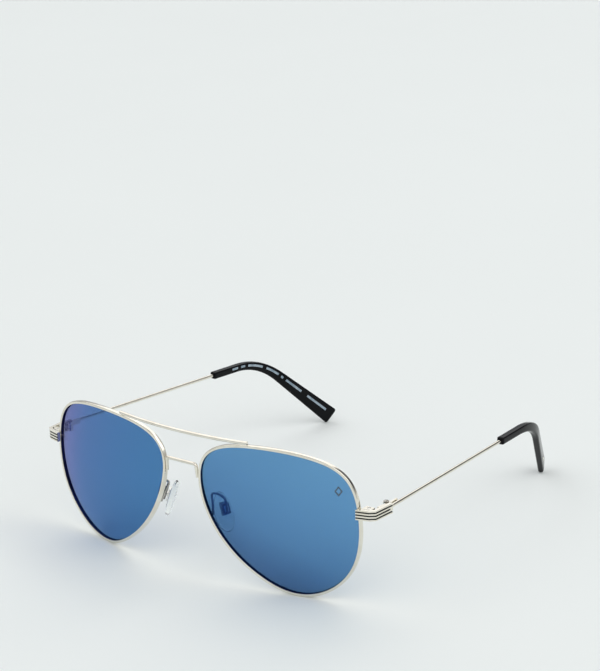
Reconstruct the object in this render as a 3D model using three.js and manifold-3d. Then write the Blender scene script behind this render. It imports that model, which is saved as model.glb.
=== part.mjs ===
// Aviator sunglasses: a double-bridge metal front with two lenses in split rims, adjustable nose
// pads, grooved end pieces and two folding temples with bent plastic tips.
// Millimetres. +Z is up, the front looks along -Y, and +X is the wearer's left.
// The glasses stand open on both rims and both tail ends. The origin is the middle of that footprint.
import * as THREE from 'three';
import { mergeVertices } from 'three/addons/utils/BufferGeometryUtils.js';
import Module from 'manifold-3d';

const wasm = await Module();
wasm.setup();

// ---- Driving dimensions: millimetres and degrees ----

// Lenses and rims
const OPENING_WIDTH = 57.8;
const OPENING_HEIGHT = 50;
const NOSE_GAP = 16.6; // between the two rim openings
const LENS_RADIUS = 106; // radius of the lens's front sphere
const LENS_THICKNESS = 1.1;
const WRAP_ANGLE = 10.6; // each lens is turned back by this much
const FRONT_TILT = 2.7; // the top of the front leans forward
const RIM_WALL = 0.95;
const RIM_DEPTH = 1.6;
const RIM_EDGE = 0.2; // bevel along the rim's edges
const GROOVE_DEPTH = 0.45;
const GROOVE_HALF_WIDTH = 0.45;
const GROOVE_CLEARANCE = 0.14; // between the lens's bevel and the groove
const RIM_SLIT = 0.3; // the rim is open here, between the closing blocks

// The opening's outline: corners of a closed cubic B-spline round the lens centre, +x to the temple
const OUTLINE_CORNERS = [
  [30, 10],
  [23, 24],
  [-12.5, 26],
  [-32.5, 19],
  [-25.5, -6],
  [-8, -21.5],
  [9, -28],
  [28.5, -15],
];

// Bridges
const SOLDER_GAP = 0.1; // between pieces that are soldered together
const BROW_BAR_RADIUS = 0.65;
const BROW_BAR_REACH = 27.5; // from the middle to each end
const BROW_BAR_SETBACK = 1.7; // its ends, behind the front plane
const BROW_BAR_BOW = 2.5; // its middle is this far in front of its ends
const BRIDGE_RADIUS = 0.6;
const BRIDGE_END_RADIUS = 0.5;
const BRIDGE_RISE = 15.4; // above the lens centre
const BRIDGE_SPREAD = 1; // its corners, inside the rims' nearest points
const BRIDGE_LEG = 4.6; // how far its ends run down to the rims
const BRIDGE_CORNER = 0.9;

// End pieces
const END_PIECE_RISE = 7.55; // its middle, above the lens centre
const END_PIECE_HEIGHT = 3.5;
const END_PIECE_WALL = 1.25;
const END_PIECE_PROUD = 1.4; // its face, in front of the rim's face
const END_PIECE_LAP = 0.1; // its inner end, past the rim's opening
const END_PIECE_FRONT = [4.6, 1.3]; // run of its front face in plan
const END_PIECE_CORNER = [1.7, 1.5]; // run of the facet at its corner
const END_PIECE_SIDE = [0.5, 8.6]; // run of its side face
const FLUTE_COUNT = 3;
const FLUTE_WIDTH = 0.45;
const FLUTE_DEPTH = 0.4;
const FLUTE_PITCH = 1.02;
const MIDDLE_FLUTE_STOP = 1.4; // the middle flute ends this far before the rear end

// Closing blocks and their screw
const CLOSING_REACH = 3.2; // outwards from the rim
const CLOSING_BACK = 3.6; // depth behind the rim's front edge
const CLOSING_HEIGHT = 3.4; // both blocks and the slit
const CLOSING_SCREW_RADIUS = 0.5;
const CLOSING_HEAD_RADIUS = 0.9;

// Hinges
const BARREL_RADIUS = 1.15;
const BARREL_HEIGHT = 3.4;
const BARREL_GAP = 0.1; // between knuckles
const BARREL_SWING_GAP = 0.15; // round a knuckle that turns
const BARREL_SETBACK = 0.2; // its axis, in front of the end piece's rear end
const HINGE_LEAF = 0.7;
const FRONT_LEAF_LENGTH = 5.4;
const REAR_LEAF_LENGTH = 5;
const REAR_LEAF_HEIGHT = 1.8;
const HINGE_SCREW_RADIUS = 0.5;
const HINGE_HEAD_RADIUS = 0.95;

// Screws
const SCREW_CLEARANCE = 0.1; // between a screw's shank and its bore
const SCREW_HEAD_HEIGHT = 0.5;
const SCREW_DOME = 0.75; // radius of the head's dome where it starts to flatten, as a share
const SCREW_SLOT_WIDTH = 0.28;
const SCREW_SLOT_DEPTH = 0.3;

// Temples
const WIRE_RADIUS = 0.62;
const WIRE_RISE = 0.45; // its front end, above the end piece's middle
const WIRE_INSET = 0.15; // its side, inside the end piece's side
const WIRE_NOTCH_GAP = 0.05; // round the wire, where a larger knuckle is notched for it
const TEMPLE_GAP = 0.3; // between the end piece's rear end and the temple
const TEMPLE_LENGTH = 140; // hinge to ear bend to tail end
const TAIL_LENGTH = 41.5; // ear bend to tail end
const TEMPLE_TOE_IN = 5;
const TEMPLE_DROP = 1.95;
const TAIL_TOE_IN = 27;
const EAR_BEND_TANGENT = 12; // the bend starts and ends this far from its corner
const TIP_LENGTH = 66.5; // measured along the temple, round the bend
const TIP_START_WIDTH = 2.7;
const TIP_TAIL_WIDTH = 2.3;
const TIP_START_HEIGHT = 2.7;
const TIP_TAIL_HEIGHT = 6.6;
const TIP_EDGE = 0.6; // bevel round the tip's two ends
const TIP_ROUNDNESS = 0.45; // of its section: 1 is an ellipse, towards 0 is a rectangle
const WIRE_SEAT = 12; // how far the wire runs into the tip
const WIRE_SEAT_CLEARANCE = 0.1;

// Tip inlays
const INLAY_LENGTH = 3;
const INLAY_HEIGHT = 1.2;
const INLAY_DEPTH = 0.4;
const INLAY_FROM_END = 6.5;
const INLAY_CLEARANCE = 0.06;

// Nose pads. Places are measured from the rim's nose side: out, back and up from the lens centre.
const PAD_CENTRE = [3, 5.9, -3.2];
const PAD_SPLAY = 30; // the pads open towards the back
const PAD_LEAN = 20; // their tops come together
const PAD_PITCH = 4; // their tops lean forward
const PAD_LENGTH = 14;
const PAD_WIDTH = 6.5;
const PAD_THICKNESS = 2.4;
const PAD_TAPER = 0.12; // narrower at the top, wider at the bottom
const PAD_FULLNESS = 0.45; // lower keeps the pad's edge fuller
const PAD_PLATE_GAP = 0.05;
const PAD_PLATE_LENGTH = 4.6;
const PAD_PLATE_WIDTH = 2.6;
const PAD_PLATE_THICKNESS = 0.4;
const PAD_LUG_WIDTH = 1.3;
const PAD_LUG_RADIUS = 0.62;
const PAD_NECK_LENGTH = 1.1; // along the pad
const PAD_ROCK_GAP = 0.5; // between the plate and the box, so the pad can rock
const PAD_BOX_LENGTH = 3.8;
const PAD_BOX_WIDTH = 2.6;
const PAD_BOX_DEPTH = 1.9;
const PAD_BOX_WALL = 0.45;
const PAD_BOX_RISE = 1.2; // the box and its screw, above the pad's middle
const PAD_SCREW_RADIUS = 0.3;
const PAD_HEAD_RADIUS = 0.55;
const PAD_ARM_RADIUS = 0.45;
const PAD_ARM_FOOT = -2; // where the arm leaves the rim, above the lens centre
const PAD_ARM_LOOP = [1.3, 3.1, 4.2]; // top of the arm's loop

// Mesh detail
const OUTLINE_STEPS = 64;
const LENS_RINGS = [0, 0.4, 0.75];
const ROUND_SIDES = 16;
const SMALL_SIDES = 12;
const PAD_SIDES = 24;
const PAD_LAYERS = 8;
const BEND_STEPS = 8;

// ---- Materials ----

const metal = new THREE.MeshStandardMaterial({ color: 0xd9d5c8, roughness: 0.16, metalness: 1 });
const fluteMetal = new THREE.MeshStandardMaterial({ color: 0xcfcabc, roughness: 0.22, metalness: 1 });
const screwMetal = new THREE.MeshStandardMaterial({ color: 0xc4c2ba, roughness: 0.3, metalness: 1 });
const mirrorLens = new THREE.MeshStandardMaterial({ color: 0x3f6ea8, roughness: 0.05, metalness: 0.6 });
const tipPlastic = new THREE.MeshStandardMaterial({ color: 0x101114, roughness: 0.2, metalness: 0 });
const clearPlastic = new THREE.MeshStandardMaterial({
  color: 0xe9efee,
  roughness: 0.12,
  metalness: 0,
  transparent: true,
  opacity: 0.45,
});

// ---- Shape helpers ----

const radians = THREE.MathUtils.degToRad;

// Signed volume of an indexed mesh: positive when its faces point out.
function signedVolume(positions, index) {
  const [a, b, c] = [new THREE.Vector3(), new THREE.Vector3(), new THREE.Vector3()];
  let volume = 0;
  for (let i = 0; i < index.length; i += 3) {
    a.fromArray(positions, index[i] * 3);
    b.fromArray(positions, index[i + 1] * 3);
    c.fromArray(positions, index[i + 2] * 3);
    volume += a.dot(b.cross(c)) / 6;
  }
  return volume;
}

// Triangles that close one flat ring of points.
function capTriangles(ring) {
  const normal = new THREE.Vector3();
  const edge = new THREE.Vector3();
  ring.forEach((point, i) => {
    normal.add(edge.crossVectors(point, ring[(i + 1) % ring.length]));
  });
  if (normal.length() < 1e-9) return [];
  normal.normalize();
  const across = new THREE.Vector3(1, 0, 0).projectOnPlane(normal);
  if (across.length() < 0.5) across.set(0, 1, 0).projectOnPlane(normal);
  across.normalize();
  const along = new THREE.Vector3().crossVectors(normal, across);
  const flat = ring.map((point) => new THREE.Vector2(point.dot(across), point.dot(along)));
  return THREE.ShapeUtils.triangulateShape(flat, []).map(([a, b, c]) => {
    const turn = (flat[b].x - flat[a].x) * (flat[c].y - flat[a].y)
      - (flat[b].y - flat[a].y) * (flat[c].x - flat[a].x);
    return turn > 0 ? [a, b, c] : [a, c, b];
  });
}

// A closed solid skinned over rings of equal length. A ring may shrink to one point.
function skin(rings, closed = false) {
  const size = rings[0].length;
  const index = [];
  const spans = closed ? rings.length : rings.length - 1;
  for (let r = 0; r < spans; r += 1) {
    const next = (r + 1) % rings.length;
    for (let k = 0; k < size; k += 1) {
      const a = r * size + k;
      const b = r * size + ((k + 1) % size);
      const c = next * size + ((k + 1) % size);
      const d = next * size + k;
      index.push(a, b, c, a, c, d);
    }
  }
  if (!closed) {
    const last = (rings.length - 1) * size;
    capTriangles(rings[0]).forEach(([a, b, c]) => index.push(a, c, b));
    capTriangles(rings.at(-1)).forEach(([a, b, c]) => index.push(last + a, last + b, last + c));
  }
  const geometry = new THREE.BufferGeometry().setFromPoints(rings.flat());
  geometry.setIndex(index);
  return cleaned(geometry);
}

// Shared vertices merged, empty triangles dropped and faces turned outwards.
function cleaned(geometry) {
  geometry.deleteAttribute('normal');
  geometry.deleteAttribute('uv');
  const merged = mergeVertices(geometry, 1e-5);
  const old = merged.index.array;
  const index = [];
  for (let i = 0; i < old.length; i += 3) {
    const [a, b, c] = [old[i], old[i + 1], old[i + 2]];
    if (a !== b && b !== c && c !== a) index.push(a, b, c);
  }
  if (signedVolume(merged.attributes.position.array, index) < 0) index.reverse();
  merged.setIndex(index);
  merged.computeVertexNormals();
  return merged;
}

function toSolid(geometry) {
  const merged = cleaned(geometry.clone());
  return new wasm.Manifold(new wasm.Mesh({
    numProp: 3,
    vertProperties: Float32Array.from(merged.attributes.position.array),
    triVerts: Uint32Array.from(merged.index.array),
  }));
}

function fromSolid(solid) {
  const mesh = solid.getMesh();
  const geometry = new THREE.BufferGeometry();
  geometry.setAttribute('position', new THREE.BufferAttribute(mesh.vertProperties, 3));
  geometry.setIndex(new THREE.BufferAttribute(mesh.triVerts, 1));
  geometry.computeVertexNormals();
  return geometry;
}

function cut(base, ...tools) {
  return fromSolid(tools.reduce((solid, tool) => solid.subtract(toSolid(tool)), toSolid(base)));
}

function join(base, ...others) {
  return fromSolid(others.reduce((solid, other) => solid.add(toSolid(other)), toSolid(base)));
}

function box(size, centre) {
  return new THREE.BoxGeometry(...size).translate(...centre);
}

// A plan outline of [x, y] points raised from one height to another.
function raise(points, bottom, top) {
  const shape = new THREE.Shape(points.map(([x, y]) => new THREE.Vector2(x, y)));
  return new THREE.ExtrudeGeometry(shape, { depth: top - bottom, bevelEnabled: false })
    .translate(0, 0, bottom);
}

// An upright cylinder round a plan point.
function post(radius, [x, y], bottom, top, sides = ROUND_SIDES) {
  return new THREE.CylinderGeometry(radius, radius, top - bottom, sides)
    .rotateX(Math.PI / 2)
    .translate(x, y, (bottom + top) / 2);
}

// A round bar along a curve. radiusAt gives its radius from 0 at the start to 1 at the end.
function bar(curve, steps, sides, radiusAt) {
  const frames = curve.computeFrenetFrames(steps, false);
  const rings = frames.tangents.map((_, i) => {
    const centre = curve.getPointAt(i / steps);
    const radius = radiusAt(i / steps);
    return Array.from({ length: sides }, (_, k) => {
      const angle = (2 * Math.PI * k) / sides;
      return centre.clone()
        .addScaledVector(frames.normals[i], radius * Math.cos(angle))
        .addScaledVector(frames.binormals[i], radius * Math.sin(angle));
    });
  });
  return skin(rings);
}

// A slotted dome-head screw along +Z, with the underside of its head at z = 0.
function slottedScrew(shankRadius, headRadius, shankLength) {
  const profile = [
    [0, -shankLength],
    [shankRadius, -shankLength],
    [shankRadius, 0],
    [headRadius, 0],
    [headRadius, SCREW_HEAD_HEIGHT / 2],
    [headRadius * SCREW_DOME, SCREW_HEAD_HEIGHT * SCREW_DOME],
    [0, SCREW_HEAD_HEIGHT],
  ].map(([x, y]) => new THREE.Vector2(x, y));
  const turned = new THREE.LatheGeometry(profile, SMALL_SIDES).rotateX(Math.PI / 2);
  const slotTop = SCREW_HEAD_HEIGHT * 2;
  const slotBottom = SCREW_HEAD_HEIGHT - SCREW_SLOT_DEPTH;
  const slotCentre = [0, 0, (slotTop + slotBottom) / 2];
  return cut(turned, box([headRadius * 3, SCREW_SLOT_WIDTH, slotTop - slotBottom], slotCentre));
}

// A plan line moved sideways by distance: positive moves it to the right of its direction.
function offsetLine(points, distance) {
  const normals = points.slice(1).map(([x, y], i) => {
    const length = Math.hypot(x - points[i][0], y - points[i][1]);
    return [(y - points[i][1]) / length, (points[i][0] - x) / length];
  });
  return points.map(([x, y], i) => {
    const before = normals[Math.max(i - 1, 0)];
    const after = normals[Math.min(i, normals.length - 1)];
    const spread = 1 + before[0] * after[0] + before[1] * after[1];
    return [
      x + (distance * (before[0] + after[0])) / spread,
      y + (distance * (before[1] + after[1])) / spread,
    ];
  });
}

// ---- Lens outline and the front's geometry ----

class SplineOutline extends THREE.Curve {
  constructor(corners) {
    super();
    this.corners = corners;
  }

  getPoint(t, target = new THREE.Vector2()) {
    const count = this.corners.length;
    const place = t * count;
    const first = Math.floor(place);
    const f = place - first;
    const weights = [
      (1 - f) ** 3 / 6,
      (3 * f ** 3 - 6 * f ** 2 + 4) / 6,
      (-3 * f ** 3 + 3 * f ** 2 + 3 * f + 1) / 6,
      f ** 3 / 6,
    ];
    target.set(0, 0);
    weights.forEach((weight, k) => {
      const [x, y] = this.corners[(((first + k - 1) % count) + count) % count];
      target.x += weight * x;
      target.y += weight * y;
    });
    return target;
  }
}

// The corners stretched and centred so that the curve itself has the opening's width and height.
function fittedOutline() {
  const raw = new SplineOutline(OUTLINE_CORNERS);
  const bounds = new THREE.Box2().setFromPoints(raw.getPoints(720));
  const size = bounds.getSize(new THREE.Vector2());
  const centre = bounds.getCenter(new THREE.Vector2());
  return new SplineOutline(OUTLINE_CORNERS.map(([x, y]) => [
    ((x - centre.x) * OPENING_WIDTH) / size.x,
    ((y - centre.y) * OPENING_HEIGHT) / size.y,
  ]));
}

const outline = fittedOutline();
const lensLevel = OPENING_HEIGHT / 2 + RIM_WALL;
const wrap = radians(WRAP_ANGLE);
const tilt = radians(FRONT_TILT);
const xAxis = new THREE.Vector3(1, 0, 0);

// Depth of the rim's front edge behind the lens centre, on the base curve.
function baseCurveDepth(x, z) {
  return LENS_RADIUS - Math.sqrt(LENS_RADIUS ** 2 - x ** 2 - z ** 2);
}

const endPieceLevel = lensLevel + END_PIECE_RISE;
const wireLevel = endPieceLevel + WIRE_RISE;
const temporalDepth = baseCurveDepth(OPENING_WIDTH / 2, 0);
const lensCentreX = NOSE_GAP / 2 + (OPENING_WIDTH / 2) * Math.cos(wrap)
  + temporalDepth * Math.sin(wrap);

// The rim's front edge at its temple side, in plan and in the untilted frame.
const rimEdge = {
  x: lensCentreX + (OPENING_WIDTH / 2) * Math.cos(wrap) - temporalDepth * Math.sin(wrap),
  y: (OPENING_WIDTH / 2) * Math.sin(wrap) + temporalDepth * Math.cos(wrap)
    - endPieceLevel * Math.sin(tilt),
};

// How high the slit is above the lens centre, measured in the lens's own plane.
const slitHeight = (endPieceLevel - rimEdge.y * Math.sin(tilt)) / Math.cos(tilt) - lensLevel;

// The outline's parameter at a height, between one below it and one above it.
function outlineParameterAt(height, below, above) {
  let [low, high] = [below, above];
  for (let i = 0; i < 40; i += 1) {
    const between = (low + high) / 2;
    if (outline.getPoint(between).y < height) low = between;
    else high = between;
  }
  return low;
}

// A station on the outline: its point, its direction and its outward normal.
function stationAt(t) {
  const nudge = 1e-4;
  const forward = outline.getPoint(t + nudge).sub(outline.getPoint(t - nudge)).normalize();
  return { point: outline.getPoint(t), forward, out: new THREE.Vector2(forward.y, -forward.x) };
}

// Evenly spaced stations round the outline, from the slit back to the slit.
function outlineStations() {
  const corner = 1 / OUTLINE_CORNERS.length;
  const start = outlineParameterAt(slitHeight, -corner, corner);
  const samples = 1440;
  const points = Array.from({ length: samples + 1 }, (_, i) => outline.getPoint(start + i / samples));
  const distances = [0];
  points.slice(1).forEach((point, i) => distances.push(distances[i] + point.distanceTo(points[i])));
  return Array.from({ length: OUTLINE_STEPS + 1 }, (_, k) => {
    const target = (distances[samples] * k) / OUTLINE_STEPS;
    const i = distances.findIndex((distance) => distance >= target - 1e-9);
    return stationAt(start + i / samples);
  });
}

const stations = outlineStations();

// A profile point: out from the opening's edge and back from the rim's front edge.
function atStation({ point, out }, outward, back) {
  return new THREE.Vector3(
    point.x + out.x * outward,
    baseCurveDepth(point.x, point.y) + back,
    point.y + out.y * outward,
  );
}

const eyeMatrix = new THREE.Matrix4().makeRotationZ(wrap).setPosition(lensCentreX, 0, lensLevel);

// A point by the rim's nose side at a height above the lens centre, in the front's own frame.
function besideNasalRim(height, outward, back) {
  const top = 2 / OUTLINE_CORNERS.length;
  const bottom = 6 / OUTLINE_CORNERS.length;
  const station = stationAt(outlineParameterAt(height, bottom, top));
  return atStation(station, outward, back).applyMatrix4(eyeMatrix);
}

// ---- Front pieces ----

const grooveMiddle = RIM_DEPTH / 2;

function rimGeometry() {
  const edge = RIM_EDGE / 2;
  const profile = [
    [0, edge],
    [edge, 0],
    [RIM_WALL - RIM_EDGE, 0],
    [RIM_WALL, RIM_EDGE],
    [RIM_WALL, RIM_DEPTH - RIM_EDGE],
    [RIM_WALL - RIM_EDGE, RIM_DEPTH],
    [edge, RIM_DEPTH],
    [0, RIM_DEPTH - edge],
    [0, grooveMiddle + GROOVE_HALF_WIDTH],
    [GROOVE_DEPTH, grooveMiddle],
    [0, grooveMiddle - GROOVE_HALF_WIDTH],
  ];
  const rings = stations.map((station, i) => {
    const away = { 0: RIM_SLIT / 2, [OUTLINE_STEPS]: -RIM_SLIT / 2 }[i] ?? 0;
    const shift = new THREE.Vector3(station.forward.x, 0, station.forward.y).multiplyScalar(away);
    return profile.map(([outward, back]) => atStation(station, outward, back).add(shift));
  });
  return skin(rings);
}

function lensGeometry() {
  const loop = stations.slice(0, OUTLINE_STEPS);
  const front = grooveMiddle - LENS_THICKNESS / 2;
  const back = grooveMiddle + LENS_THICKNESS / 2;
  const onSurface = (scale, depth) => loop.map(({ point }) => {
    const x = point.x * scale;
    const z = point.y * scale;
    return new THREE.Vector3(x, baseCurveDepth(x, z) + depth, z);
  });
  const edgeRing = (outward, depth) => loop.map((station) => atStation(station, outward, depth));
  return skin([
    ...LENS_RINGS.map((scale) => onSurface(scale, front)),
    edgeRing(-GROOVE_CLEARANCE, front),
    edgeRing(-GROOVE_CLEARANCE, grooveMiddle - GROOVE_HALF_WIDTH),
    edgeRing(GROOVE_DEPTH - GROOVE_CLEARANCE, grooveMiddle),
    edgeRing(-GROOVE_CLEARANCE, grooveMiddle + GROOVE_HALF_WIDTH),
    edgeRing(-GROOVE_CLEARANCE, back),
    ...LENS_RINGS.toReversed().map((scale) => onSurface(scale, back)),
  ]);
}

// The brow bar lies on the rims: its height comes from the rim's top where the bar ends.
function browBarGeometry() {
  const under = stations.filter((_, i) => {
    const nasal = stations[Math.min(i + 1, OUTLINE_STEPS)].point;
    return lensCentreX + nasal.x <= BROW_BAR_REACH;
  });
  const rimTop = Math.max(...under.map(({ point, out }) => point.y + RIM_WALL * out.y));
  const height = lensLevel + rimTop + SOLDER_GAP + BROW_BAR_RADIUS;
  const curve = new THREE.QuadraticBezierCurve3(
    new THREE.Vector3(-BROW_BAR_REACH, BROW_BAR_SETBACK, height),
    new THREE.Vector3(0, BROW_BAR_SETBACK - 2 * BROW_BAR_BOW, height),
    new THREE.Vector3(BROW_BAR_REACH, BROW_BAR_SETBACK, height),
  );
  return bar(curve, 12, ROUND_SIDES, () => BROW_BAR_RADIUS);
}

// The lower bridge spans the nose, turns down at its corners and leans out to the rims at its feet.
function bridgeGeometry() {
  const height = lensLevel + BRIDGE_RISE;
  const footGap = RIM_WALL + SOLDER_GAP + BRIDGE_END_RADIUS;
  const foot = besideNasalRim(BRIDGE_RISE - BRIDGE_LEG, footGap, RIM_DEPTH / 2);
  const cornerX = NOSE_GAP / 2 - RIM_WALL - BRIDGE_SPREAD;
  const shoulder = new THREE.Vector3(cornerX, foot.y, height - BRIDGE_CORNER);
  const corner = new THREE.Vector3(cornerX, foot.y, height);
  const span = new THREE.Vector3(cornerX - BRIDGE_CORNER, foot.y, height);
  const across = (point) => new THREE.Vector3(-point.x, point.y, point.z);
  const path = new THREE.CurvePath();
  path.add(new THREE.LineCurve3(across(foot), across(shoulder)));
  path.add(new THREE.QuadraticBezierCurve3(across(shoulder), across(corner), across(span)));
  path.add(new THREE.LineCurve3(across(span), span));
  path.add(new THREE.QuadraticBezierCurve3(span, corner, shoulder));
  path.add(new THREE.LineCurve3(shoulder, foot));
  const legShare = foot.distanceTo(shoulder) / path.getLength();
  return bar(path, 32, SMALL_SIDES, (share) => {
    const leg = Math.min(share, 1 - share) / legShare;
    return THREE.MathUtils.lerp(BRIDGE_END_RADIUS, BRIDGE_RADIUS, Math.min(leg, 1));
  });
}

// ---- End piece, in plan: from its inner end round the corner to its rear end ----

const stepFrom = ([x, y], [dx, dy]) => [x + dx, y + dy];
const endPieceStart = [rimEdge.x - END_PIECE_LAP, rimEdge.y - END_PIECE_PROUD];
const endPieceKnee = stepFrom(endPieceStart, END_PIECE_FRONT);
const endPieceElbow = stepFrom(endPieceKnee, END_PIECE_CORNER);
const endPieceRear = stepFrom(endPieceElbow, END_PIECE_SIDE);
const endPieceFace = [endPieceStart, endPieceKnee, endPieceElbow, endPieceRear];
const endPieceBottom = endPieceLevel - END_PIECE_HEIGHT / 2;
const endPieceTop = endPieceLevel + END_PIECE_HEIGHT / 2;

function endPieceGeometry() {
  const inner = offsetLine(endPieceFace, -END_PIECE_WALL);
  const body = raise([...endPieceFace, ...inner.reverse()], endPieceBottom, endPieceTop);
  const flutes = Array.from({ length: FLUTE_COUNT }, (_, i) => {
    const rank = i - (FLUTE_COUNT - 1) / 2;
    const level = endPieceLevel + rank * FLUTE_PITCH;
    const runOut = rank === 0 ? -MIDDLE_FLUTE_STOP : END_PIECE_WALL;
    const path = [
      [endPieceStart[0] - END_PIECE_WALL, endPieceStart[1] - END_PIECE_WALL * 0.3],
      endPieceStart,
      endPieceKnee,
      endPieceElbow,
      [endPieceRear[0], endPieceRear[1] + runOut],
    ];
    const floor = offsetLine(path, -FLUTE_DEPTH);
    const open = offsetLine(path, END_PIECE_WALL);
    return raise([...open, ...floor.reverse()], level - FLUTE_WIDTH / 2, level + FLUTE_WIDTH / 2);
  });
  return cut(body, ...flutes);
}

// ---- Closing blocks: two halves that clamp the rim shut, one above and one below the slit ----

const closingInner = rimEdge.x + RIM_WALL + SOLDER_GAP;
const closingOuter = closingInner + CLOSING_REACH;
const closingRear = rimEdge.y + CLOSING_BACK;
const closingBottom = endPieceLevel - CLOSING_HEIGHT / 2;
const closingTop = endPieceLevel + CLOSING_HEIGHT / 2;

// Plan line just behind the end piece's inner wall, at one x.
function behindEndPiece(x) {
  const wall = offsetLine(endPieceFace, -END_PIECE_WALL - SOLDER_GAP);
  const i = x < wall[1][0] ? 0 : 1;
  const share = (x - wall[i][0]) / (wall[i + 1][0] - wall[i][0]);
  return wall[i][1] + share * (wall[i + 1][1] - wall[i][1]);
}

const closingScrewPlace = [
  (closingInner + closingOuter) / 2,
  (behindEndPiece(closingOuter) + closingRear) / 2,
];

function closingBlockGeometry(bottom, top) {
  const plan = [
    [closingInner, behindEndPiece(closingInner)],
    [closingOuter, behindEndPiece(closingOuter)],
    [closingOuter, closingRear],
    [closingInner, closingRear],
  ];
  const boreRadius = CLOSING_SCREW_RADIUS + SCREW_CLEARANCE;
  const bore = post(boreRadius, closingScrewPlace, bottom - 1, top + 1, SMALL_SIDES);
  return cut(raise(plan, bottom, top), bore);
}

// ---- Hinge: two knuckles on the end piece, one on the temple, and a screw through all three ----

const hingeAxis = [
  endPieceRear[0] - END_PIECE_WALL - SOLDER_GAP - BARREL_RADIUS,
  endPieceRear[1] - BARREL_SETBACK,
];
const barrelBottom = endPieceLevel - BARREL_HEIGHT / 2;
const barrelTop = endPieceLevel + BARREL_HEIGHT / 2;
const knuckleHeight = (BARREL_HEIGHT - 2 * BARREL_GAP) / 3;
const middleBottom = barrelBottom + knuckleHeight + BARREL_GAP;
const middleTop = barrelTop - knuckleHeight - BARREL_GAP;

function hingeBore() {
  return post(HINGE_SCREW_RADIUS + SCREW_CLEARANCE, hingeAxis, barrelBottom - 1, barrelTop + 1);
}

function wireNotch() {
  const wire = new THREE.LineCurve3(wireStart, tipStart);
  return bar(wire, 1, ROUND_SIDES, () => WIRE_RADIUS + WIRE_NOTCH_GAP);
}

function frontHingeGeometry() {
  const [faceRear, faceElbow] = offsetLine(endPieceFace, -END_PIECE_WALL - SOLDER_GAP).reverse();
  const share = FRONT_LEAF_LENGTH / (faceRear[1] - faceElbow[1]);
  const leafEnd = [
    faceRear[0] + share * (faceElbow[0] - faceRear[0]),
    faceRear[1] - FRONT_LEAF_LENGTH,
  ];
  const outer = [leafEnd, [faceRear[0], hingeAxis[1]]];
  const inner = outer.map(([x, y]) => [x - HINGE_LEAF, y]);
  const leaf = raise([...outer, ...inner.reverse()], barrelBottom, barrelTop);
  const barrel = post(BARREL_RADIUS, hingeAxis, barrelBottom, barrelTop);
  const swing = post(
    BARREL_RADIUS + BARREL_SWING_GAP,
    hingeAxis,
    middleBottom - BARREL_GAP,
    middleTop + BARREL_GAP,
  );
  return cut(join(leaf, barrel), swing, hingeBore(), wireNotch());
}

// ---- Temple: a straight wire, then a plastic tip that bends down behind the ear ----

const wireStart = new THREE.Vector3(
  endPieceRear[0] - WIRE_INSET - WIRE_RADIUS,
  endPieceRear[1] + TEMPLE_GAP,
  wireLevel,
);

function direction(toeIn, drop) {
  const [turn, fall] = [radians(toeIn), radians(drop)];
  return new THREE.Vector3(
    -Math.sin(turn) * Math.cos(fall),
    Math.cos(turn) * Math.cos(fall),
    -Math.sin(fall),
  );
}

const templeDirection = direction(TEMPLE_TOE_IN, TEMPLE_DROP);
const earBend = wireStart.clone().addScaledVector(templeDirection, TEMPLE_LENGTH - TAIL_LENGTH);

// The tail drops until its lower corner reaches the floor that the rims stand on.
const floorLevel = Math.min(...stations.map((station) => (
  atStation(station, RIM_WALL, RIM_EDGE).applyMatrix4(eyeMatrix).applyAxisAngle(xAxis, tilt).z
)));
const tailHalfHeight = TIP_TAIL_HEIGHT / 2;
const tailReach = Math.hypot(TAIL_LENGTH - TIP_EDGE, tailHalfHeight);
const tailDrop = THREE.MathUtils.radToDeg(
  Math.asin((earBend.z - floorLevel) / tailReach)
    - Math.atan2(tailHalfHeight, TAIL_LENGTH - TIP_EDGE),
);
const tailDirection = direction(TAIL_TOE_IN, tailDrop);
const tailEnd = earBend.clone().addScaledVector(tailDirection, TAIL_LENGTH);
const bendStart = earBend.clone().addScaledVector(templeDirection, -EAR_BEND_TANGENT);
const bendEnd = earBend.clone().addScaledVector(tailDirection, EAR_BEND_TANGENT);
const tipStart = earBend.clone().addScaledVector(templeDirection, TAIL_LENGTH - TIP_LENGTH);

function wireGeometry() {
  const end = tipStart.clone().addScaledVector(templeDirection, WIRE_SEAT);
  return bar(new THREE.LineCurve3(wireStart, end), 1, ROUND_SIDES, () => WIRE_RADIUS);
}

function rearHingeGeometry() {
  const sideways = new THREE.Vector3(templeDirection.y, -templeDirection.x, 0).normalize();
  const outerOffset = -WIRE_RADIUS - SOLDER_GAP;
  const at = (distance, offset) => {
    const place = wireStart.clone()
      .addScaledVector(templeDirection, distance)
      .addScaledVector(sideways, offset);
    return [place.x, place.y];
  };
  const leafStart = BARREL_RADIUS + BARREL_SWING_GAP - BARREL_SETBACK;
  const leaf = raise([
    at(leafStart, outerOffset),
    at(REAR_LEAF_LENGTH, outerOffset),
    at(REAR_LEAF_LENGTH, outerOffset - HINGE_LEAF),
    at(leafStart, outerOffset - HINGE_LEAF),
  ], middleBottom, middleBottom + REAR_LEAF_HEIGHT);
  const web = raise([
    hingeAxis,
    at(0, outerOffset),
    at(leafStart + HINGE_LEAF, outerOffset),
    at(leafStart + HINGE_LEAF, outerOffset - HINGE_LEAF),
  ], middleBottom, middleTop);
  const knuckle = post(BARREL_RADIUS, hingeAxis, middleBottom, middleTop);
  return cut(join(knuckle, web, leaf), hingeBore(), wireNotch());
}

// The ear bend's path through the tip, and the frame of its cross-sections.
function tipPath() {
  const path = new THREE.CurvePath();
  path.add(new THREE.LineCurve3(tipStart, bendStart));
  path.add(new THREE.QuadraticBezierCurve3(bendStart, earBend, bendEnd));
  path.add(new THREE.LineCurve3(bendEnd, tailEnd));
  return path;
}

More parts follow.
